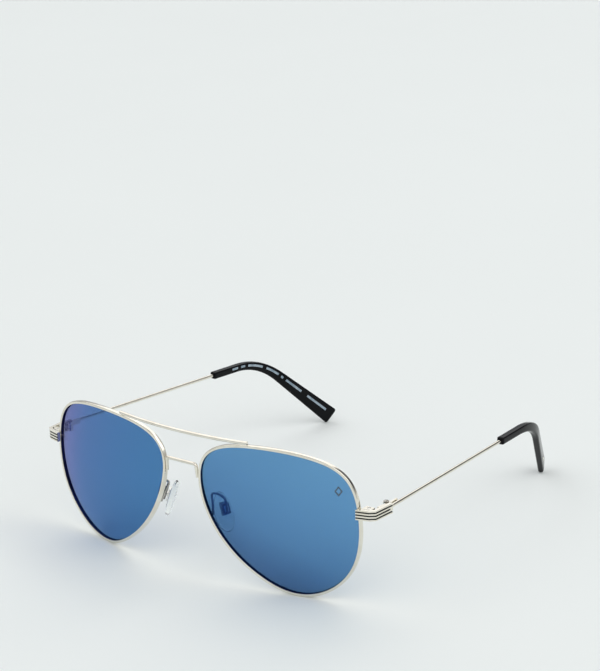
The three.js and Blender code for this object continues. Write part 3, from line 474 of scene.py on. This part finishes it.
def make_lens(name, side):
    """The front from its middle outwards, the edge in the groove, and the back inwards again."""
    scales = [LENS_HUB + LENS_SPREAD * (i / LENS_RINGS) for i in range(LENS_RINGS + 1)]

    def surface(scale, depth):
        return [
            tilt @ eye @ Vector((x * scale, base_curve(x * scale, y * scale) + depth, y * scale))
            for x, y in (outline(slit + i / STEPS) for i in range(STEPS))
        ]

    def edge(outward, depth):
        return [on_rim(slit + i / STEPS, outward, depth) for i in range(STEPS)]

    rings = [surface(scale, LENS_FRONT) for scale in scales]
    rings += [edge(LENS_LAP, LENS_FRONT), edge(LENS_LAP, LENS_FRONT + LENS_LIP), edge(0.0, LENS_BACK)]
    rings += [surface(scale, LENS_BACK) for scale in reversed(scales)]
    return make(f"{name}_mirror_lens", rings, side, "front", [f"{name}_lens"],
                [lens_material(side)], smooth=40)


# ---- Temples ----

def direction(toe_in, drop):
    """Backwards, turned inwards and downwards."""
    return Vector((-math.sin(toe_in) * math.cos(drop), math.cos(toe_in) * math.cos(drop), -math.sin(drop)))


def square_to(along):
    """The level and the upright direction square to a direction along the temple."""
    level = Vector((along.y, -along.x, 0)).normalized()
    return level, level.cross(along)


rear = [rim_edge[0] - END_PIECE_LAP, rim_edge[1] - END_PIECE_PROUD]
for dx, dy in END_PIECE_RUNS:
    rear = [rear[0] + dx, rear[1] + dy]
wire_start = Vector((rear[0] - WIRE_INSET - WIRE_RADIUS, rear[1] + TEMPLE_GAP, wire_level))
temple_way = direction(TEMPLE_TOE_IN, TEMPLE_DROP)
ear_bend = wire_start + temple_way * (TEMPLE_LENGTH - TAIL_LENGTH)
floor_level = -shift.z
half_tail = TIP_TAIL_HEIGHT / 2
tail_reach = math.hypot(TAIL_LENGTH - TIP_EDGE, half_tail)
tail_drop = math.asin((ear_bend.z - floor_level) / tail_reach) - math.atan2(half_tail, TAIL_LENGTH - TIP_EDGE)
tail_way = direction(TAIL_TOE_IN, tail_drop)
tail_end = ear_bend + tail_way * TAIL_LENGTH
bend_start = ear_bend - temple_way * EAR_BEND_TANGENT
bend_end = ear_bend + tail_way * EAR_BEND_TANGENT
tip_start = ear_bend + temple_way * (TAIL_LENGTH - TIP_LENGTH)
straight = (bend_start - tip_start).length


STRAIGHT_POINTS, BEND_POINTS = 40, 80
PATH_MARGIN = 1e-9  # in millimetres, for a distance that falls on a point of the path
TANGENT_REACH = 0.6  # along the tip, either side of where its direction is taken
FLARE_POWER = 1.1  # how the tip's height grows towards the tail: 1 is evenly
TIP_SIDES = 56
TIP_ANGLES = [2 * math.pi * (k + 0.5) / TIP_SIDES for k in range(TIP_SIDES)]
TIP_RINGS, TIP_EDGE_STEPS = 90, 5
TIP_INSET = 0.01  # keeps the moulded tip inside the CAD's box
BORE_GAP = 0.1  # round the wire and beyond its end
BORE_MOUTH = 0.02  # how far in from the tip's start the bore begins


def tip_path():
    """Points along the middle of the tip, and each one's distance from its start."""
    points = [tip_start.lerp(bend_start, i / STRAIGHT_POINTS) for i in range(STRAIGHT_POINTS)]
    for i in range(BEND_POINTS + 1):
        t = i / BEND_POINTS
        points.append(bend_start * (1 - t) ** 2 + ear_bend * (2 * t * (1 - t)) + bend_end * t ** 2)
    points += [bend_end.lerp(tail_end, (i + 1) / STRAIGHT_POINTS) for i in range(STRAIGHT_POINTS)]
    distances = [0.0]
    for a, b in zip(points, points[1:]):
        distances.append(distances[-1] + (b - a).length)
    return points, distances


path_points, path_distances = tip_path()
tip_total = path_distances[-1]


def on_path(distance):
    d = min(max(distance, 0), tip_total)
    i = next(k for k in range(1, len(path_distances)) if path_distances[k] >= d - PATH_MARGIN)
    span = path_distances[i] - path_distances[i - 1]
    return path_points[i - 1].lerp(path_points[i], (d - path_distances[i - 1]) / span)


def tangent_at(distance):
    return (on_path(distance + TANGENT_REACH) - on_path(distance - TANGENT_REACH)).normalized()


def tip_size(distance):
    """Width and height of the tip's section."""
    share = distance / tip_total
    start = straight / TIP_LENGTH
    tail = max(0.0, (share - start) / (1 - start))
    return (
        TIP_START_WIDTH + (TIP_TAIL_WIDTH - TIP_START_WIDTH) * tail,
        TIP_START_HEIGHT + (TIP_TAIL_HEIGHT - TIP_START_HEIGHT) * tail ** FLARE_POWER,
    )


def rounded(value):
    return math.copysign(abs(value) ** TIP_ROUNDNESS, value)


def tip_section(distance, inset):
    centre = on_path(distance)
    level, upright = square_to(tangent_at(distance))
    width, height = tip_size(distance)
    return [
        centre + level * (rounded(math.cos(angle)) * (width / 2 - inset))
        + upright * (rounded(math.sin(angle)) * (height / 2 - inset))
        for angle in TIP_ANGLES
    ]


def bore_section(distance, radius):
    centre = tip_start + temple_way * distance
    level, upright = square_to(temple_way)
    return [
        centre + level * (radius * math.cos(angle)) + upright * (radius * math.sin(angle))
        for angle in TIP_ANGLES
    ]


def make_tip(name, side):
    """The bore from its end to its mouth, the bevelled start, the length of the tip and the rounded tail."""
    bore = WIRE_RADIUS + BORE_GAP
    rings = [bore_section(WIRE_SEAT + BORE_GAP, bore), bore_section(BORE_MOUTH, bore)]
    edge = [math.radians(90 * i / TIP_EDGE_STEPS) for i in range(TIP_EDGE_STEPS + 1)]
    for a in reversed(edge):
        rings.append(tip_section(TIP_EDGE * (1 - math.sin(a)), TIP_EDGE * (1 - math.cos(a))))
    plain = tip_total - TIP_EDGE - TAIL_ROUND
    for i in range(1, TIP_RINGS):
        rings.append(tip_section(TIP_EDGE + plain * i / TIP_RINGS, TIP_INSET))
    for a in edge:
        from_end = TAIL_ROUND * (1 - math.sin(a))
        rings.append(tip_section(tip_total - from_end, TIP_INSET + TAIL_ROUND * (1 - math.cos(a))))
    return make(f"{name}_tip_moulded", rings, side, f"{name}_temple", [f"{name}_temple_tip"],
                [black], smooth=45)


INLAY_LAYERS = [(-0.3, 0.0), (0.03, 0.0), (0.09, 0.06)]  # out from the tip's side, and inset of the outline
INLAY_CORNER, INLAY_CORNER_STEPS = 0.25, 4


def make_inlay(name, side):
    centre = tail_end - tail_way * INLAY_FROM_END
    out, up = square_to(tail_way)
    width, _ = tip_size(tip_total - INLAY_FROM_END)
    rings = []
    for depth, inset in INLAY_LAYERS:
        half_l = INLAY_LENGTH / 2 - inset - INLAY_CORNER
        half_h = INLAY_HEIGHT / 2 - inset - INLAY_CORNER
        ring = []
        for cx, cy, start in ((1, 1, 0), (-1, 1, 90), (-1, -1, 180), (1, -1, 270)):
            for i in range(INLAY_CORNER_STEPS + 1):
                a = math.radians(start + 90 * i / INLAY_CORNER_STEPS)
                ring.append(centre + out * (width / 2 + depth)
                            + tail_way * (cx * half_l + INLAY_CORNER * math.cos(a))
                            + up * (cy * half_h + INLAY_CORNER * math.sin(a)))
        rings.append(ring)
    return make(f"{name}_inlay_plate", rings, side, f"{name}_temple", [f"{name}_tip_inlay"],
                [silver], smooth=30)


# Plain printed dashes on the tips' inner sides, start and end along the tip, and a lozenge on one lens
DASHES = [(9.5, 12.5), (14.2, 16.4), (18, 25.5), (27.5, 34), (35.4, 36.6), (38.2, 46.8), (50.2, 60.8)]
DASH_HALF_HEIGHT = 0.42
DASH_STEP = 0.5
DASH_RISE = 0.13  # of the tip's height
DASH_LIFT, LOZENGE_LIFT = 0.004, 0.012  # off the surface they are printed on
LOZENGE_AT, LOZENGE_SIZE = (22.4, 13.9), 1.35
LOZENGE_STRETCH = 1.3  # height against width
LOZENGE_OPENING = 0.6  # of its size


def flat_piece(name, outlines, side, body, material):
    """Thin separate patches, each a grid of points in rows."""
    bm = bmesh.new()
    for rows in outlines:
        verts = [[bm.verts.new(placed(p, side)) for p in row] for row in rows]
        for a, b in zip(verts, verts[1:]):
            for k in range(len(a) - 1):
                bm.faces.new((a[k], a[k + 1], b[k + 1], b[k]))
    obj = new_object(name, bm)
    shade_smooth(obj.data)
    obj.data.materials.append(material)
    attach(obj, body)
    return obj


def make_print(name, side):
    patches = []
    for start, end in DASHES:
        rows = []
        steps = max(2, round((end - start) / DASH_STEP))
        for i in range(steps + 1):
            d = start + (end - start) * i / steps
            out, up = square_to(tangent_at(d))
            width, height = tip_size(d)
            middle = on_path(d) - out * (width / 2 + DASH_LIFT)
            rows.append([middle + up * (DASH_RISE * height + h)
                         for h in (-DASH_HALF_HEIGHT, 0, DASH_HALF_HEIGHT)])
        patches.append(rows)
    return flat_piece(f"{name}_tip_dashes", patches, side, f"{name}_temple", print_ink)


def make_lozenge(name, side):
    def corner(quarter, scale):
        """One corner of the lozenge, on the lens's front."""
        angle = math.pi / 2 * quarter
        x = LOZENGE_AT[0] + math.cos(angle) * LOZENGE_SIZE * scale
        y = LOZENGE_AT[1] + math.sin(angle) * LOZENGE_SIZE * LOZENGE_STRETCH * scale
        return tilt @ eye @ Vector((x, base_curve(x, y) + LENS_FRONT - LOZENGE_LIFT, y))

    patches = [
        [[corner(quarter, scale), corner(quarter + 1, scale)] for scale in (LOZENGE_OPENING, 1)]
        for quarter in range(4)
    ]
    return flat_piece(f"{name}_lens_lozenge", patches, side, "front", mark_ink)


WIRE_SIDES, WIRE_RINGS = 32, 12
WIRE_END_ROUND = 0.2
PAD_LAYERS, PAD_SIDES = 24, 64


def bar_rings(points, radii, sides):
    """Rings round a line of points, with their frame carried along it."""
    normal = None
    rings = []
    for i, p in enumerate(points):
        tangent = (points[min(i + 1, len(points) - 1)] - points[max(i - 1, 0)]).normalized()
        if normal is None:
            normal = tangent.orthogonal().normalized()
        normal = (normal - tangent * normal.dot(tangent)).normalized()
        other = tangent.cross(normal)
        rings.append([p + normal * (radii[i] * math.cos(2 * math.pi * k / sides))
                      + other * (radii[i] * math.sin(2 * math.pi * k / sides)) for k in range(sides)])
    return rings


def make_wire(name, side):
    end = tip_start + temple_way * WIRE_SEAT
    plain = (end - wire_start).length - WIRE_END_ROUND
    points, radii = [], []
    for a in (90, 60, 30, 0):
        points.append(wire_start + temple_way * (WIRE_END_ROUND * (1 - math.sin(math.radians(a)))))
        radii.append(WIRE_RADIUS - WIRE_END_ROUND * (1 - math.cos(math.radians(a))))
    for i in range(1, WIRE_RINGS + 1):
        points.append(wire_start + temple_way * (WIRE_END_ROUND + plain * i / WIRE_RINGS))
        radii.append(WIRE_RADIUS)
    rings = bar_rings(points, radii, WIRE_SIDES)
    return make(f"{name}_wire_drawn", rings, side, f"{name}_temple",
                [f"{name}_temple_wire"], [silver], smooth=60)


# ---- Nose pads ----

def make_pad(name, side):
    rings = []
    for i in range(1, PAD_LAYERS):
        angle = math.pi * i / PAD_LAYERS
        scale = math.sin(angle) ** PAD_FULLNESS
        ring = []
        for k in range(PAD_SIDES):
            a = 2 * math.pi * k / PAD_SIDES
            taper = 1 - PAD_TAPER * math.sin(a)
            local = Vector((-PAD_THICKNESS / 2 * math.cos(angle), PAD_WIDTH / 2 * scale * taper * math.cos(a),
                            PAD_LENGTH / 2 * scale * math.sin(a)))
            ring.append(tilt @ pad_place @ local)
        rings.append(ring)
    return make(f"{name}_pad_soft", rings, side, f"{name}_pad", [f"{name}_nose_pad"],
                [clear], smooth=60)


for label, hand in (("left", 1), ("right", -1)):
    make_rim(label, hand)
    make_lens(label, hand)
    make_tip(label, hand)
    make_inlay(label, hand)
    make_wire(label, hand)
    make_pad(label, hand)
    make_print(label, hand)
make_lozenge("left", 1)

# ---- CAD nodes that stay: rounded edges and finished metal ----

# Material, bevel in millimetres, and the angle in degrees above which an edge is rounded
FINISH = {
    "end_piece": (silver, 0.08, 35),
    "closing_block_upper": (silver, 0.12, 35),
    "closing_block_lower": (silver, 0.12, 35),
    "closing_screw": (turned, 0.05, 35),
    "front_hinge": (silver, 0.08, 35),
    "temple_hinge": (silver, 0.08, 35),
    "hinge_screw": (shade_darkened_silver, 0.05, 35),
    "pad_arm": (shade_darkened_silver, 0.08, 50),
    "pad_box": (shade_darkened_silver, 0.08, 35),
    "pad_screw": (turned, 0.03, 35),
    "pad_stem": (turned, 0.05, 35),
    "brow_bar": (silver, 0.15, 50),
    "lower_bridge": (silver, 0.10, 50),
}
WELD_DISTANCE = 1e-6
FLUTE_MARGIN = 0.01


def enamel_flutes(name, obj):
    """Dark enamel on the faces that lie inside one of the end piece's three flutes."""
    obj.data.materials.append(enamel)
    lo_corner, hi_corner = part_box(name)
    middle = (lo_corner.z + hi_corner.z) / 2
    for face in obj.data.polygons:
        levels = [(obj.data.vertices[v].co.z - middle) / MM for v in face.vertices]
        for row in (-1, 0, 1):
            if all(abs(z - row * FLUTE_PITCH) < FLUTE_WIDTH / 2 + FLUTE_MARGIN for z in levels):
                face.material_index = 1


def finish_node(name, obj):
    kind = name.removeprefix("left_").removeprefix("right_")
    material, bevel, angle = FINISH[kind]
    if kind == "pad_box":
        material = box_material(1 if name.startswith("left_") else -1)
    obj.data.materials.clear()
    obj.data.materials.append(material)
    if "custom_normal" in obj.data.attributes:
        obj.data.attributes.remove(obj.data.attributes["custom_normal"])
    shade_smooth(obj.data)
    weld = obj.modifiers.new("weld", "WELD")
    weld.merge_threshold = WELD_DISTANCE
    if kind == "end_piece":
        enamel_flutes(name, obj)
    edges = obj.modifiers.new("edges", "BEVEL")
    edges.width = bevel * MM
    edges.segments = 2
    edges.limit_method = "ANGLE"
    edges.angle_limit = math.radians(angle)
    edges.harden_normals = True


for node_name, node_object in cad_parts.items():
    if not node_object.hide_render:
        finish_node(node_name, node_object)

# ---- Floor, lights and camera ----

FLOOR = (0.855, 0.89, 0.875)
FLOOR_SHADE = 0.99  # the darker end of its faint clouds
FLOOR_GAP = 0.00002
FLOOR_SIZE = 4.0


def floor_material():
    m, nt, shader, _ = new_material("studio_floor")
    cloud = noise(nt, own_coords(nt), scale=6, detail=2)
    colour_by(nt, cloud, [(0.2, tuple(v * FLOOR_SHADE for v in FLOOR)), (0.8, FLOOR)], shader)
    shader.inputs["Roughness"].default_value = 0.7
    shader.inputs["Specular IOR Level"].default_value = 0.2
    return m


def make_floor():
    bm = bmesh.new()
    bmesh.ops.create_grid(bm, x_segments=8, y_segments=8, size=FLOOR_SIZE)
    floor = new_object("floor", bm)
    floor.data.materials.append(floor_material())
    floor.location.z = -FLOOR_GAP


# The studio round the glasses: brightness by height, a little less away from BRIGHT_WAY, and one dark flag
SKY_BY_HEIGHT = [
    (0.0, grey(0.3)), (0.3, (0.42, 0.43, 0.44)), (0.42, grey(1.0)), (0.86, grey(1.0)), (0.92, grey(0.12)),
]
BRIGHT_WAY = (0.45, 0.6, 0.66)
SKY_BY_SIDE = [(0.0, (0.78, 0.78, 0.79)), (0.4, (0.95, 0.96, 0.97)), (1.0, grey(1.0))]
FLAG_WAY = (0.385, 0.777, 0.5)
FLAG = [(0.87, grey(1.0)), (0.94, (0.1, 0.1, 0.11))]
SKY_STRENGTH = 1.46


def make_world():
    world = bpy.data.worlds.new("studio")
    bpy.context.scene.world = world
    world.use_nodes = True
    nt = world.node_tree
    way = nt.nodes.new("ShaderNodeTexCoord").outputs["Generated"]
    heights = nt.nodes.new("ShaderNodeSeparateXYZ")
    nt.links.new(way, heights.inputs["Vector"])
    sky = ramp(nt, heights.outputs["Z"], SKY_BY_HEIGHT)
    for toward, stops in ((BRIGHT_WAY, SKY_BY_SIDE), (FLAG_WAY, FLAG)):
        nearness = combine(nt, "VectorMath", "DOT_PRODUCT", (way, toward))
        sky = combine(nt, "VectorMath", "MULTIPLY", (sky, ramp(nt, nearness, stops)), "Vector")
    background = nt.nodes["Background"]
    nt.links.new(sky, background.inputs["Color"])
    background.inputs["Strength"].default_value = SKY_STRENGTH


KEY_PLACE = Vector((1.3, 0.7, 2.3))
KEY_SIZE, KEY_POWER, KEY_COLOUR = 2.4, 9.5, (1.0, 0.995, 0.98)


def make_key_light():
    data = bpy.data.lights.new("key", "AREA")
    data.shape = "RECTANGLE"
    data.size = data.size_y = KEY_SIZE
    data.energy = KEY_POWER
    data.color = KEY_COLOUR
    key = bpy.data.objects.new("key", data)
    key.location = KEY_PLACE
    key.rotation_euler = (-KEY_PLACE).to_track_quat("-Z", "Y").to_euler()
    bpy.context.scene.collection.objects.link(key)


# The photo's view: where the camera is, in millimetres, and how it is turned, in degrees
CAMERA_PLACE = Vector((493.39, -560.728, 327.508))
CAMERA_AZIMUTH, CAMERA_ELEVATION, CAMERA_ROLL = 38.3213, 18.1651, -2.0378
CAMERA_LENS, CAMERA_SENSOR = 128.84, 36
CAMERA_CLIP = (0.05, 20)


def make_camera():
    data = bpy.data.cameras.new("camera")
    camera = bpy.data.objects.new("camera", data)
    bpy.context.scene.collection.objects.link(camera)
    azimuth = math.radians(CAMERA_AZIMUTH)
    elevation = math.radians(CAMERA_ELEVATION)
    roll = math.radians(CAMERA_ROLL)
    back = Vector((math.sin(azimuth) * math.cos(elevation), -math.cos(azimuth) * math.cos(elevation),
                   math.sin(elevation)))
    level_right = Vector((math.cos(azimuth), math.sin(azimuth), 0))
    level_up = back.cross(level_right)
    right = level_right * math.cos(roll) + level_up * math.sin(roll)
    up = level_up * math.cos(roll) - level_right * math.sin(roll)
    place = Matrix.Translation(CAMERA_PLACE * MM + shift * MM)
    camera.matrix_world = place @ Matrix((right, up, back)).transposed().to_4x4()
    data.lens = CAMERA_LENS
    data.sensor_width = CAMERA_SENSOR
    data.clip_start, data.clip_end = CAMERA_CLIP
    bpy.context.scene.camera = camera
    bpy.context.scene.view_settings.view_transform = "Standard"


make_floor()
make_world()
make_key_light()
make_camera()
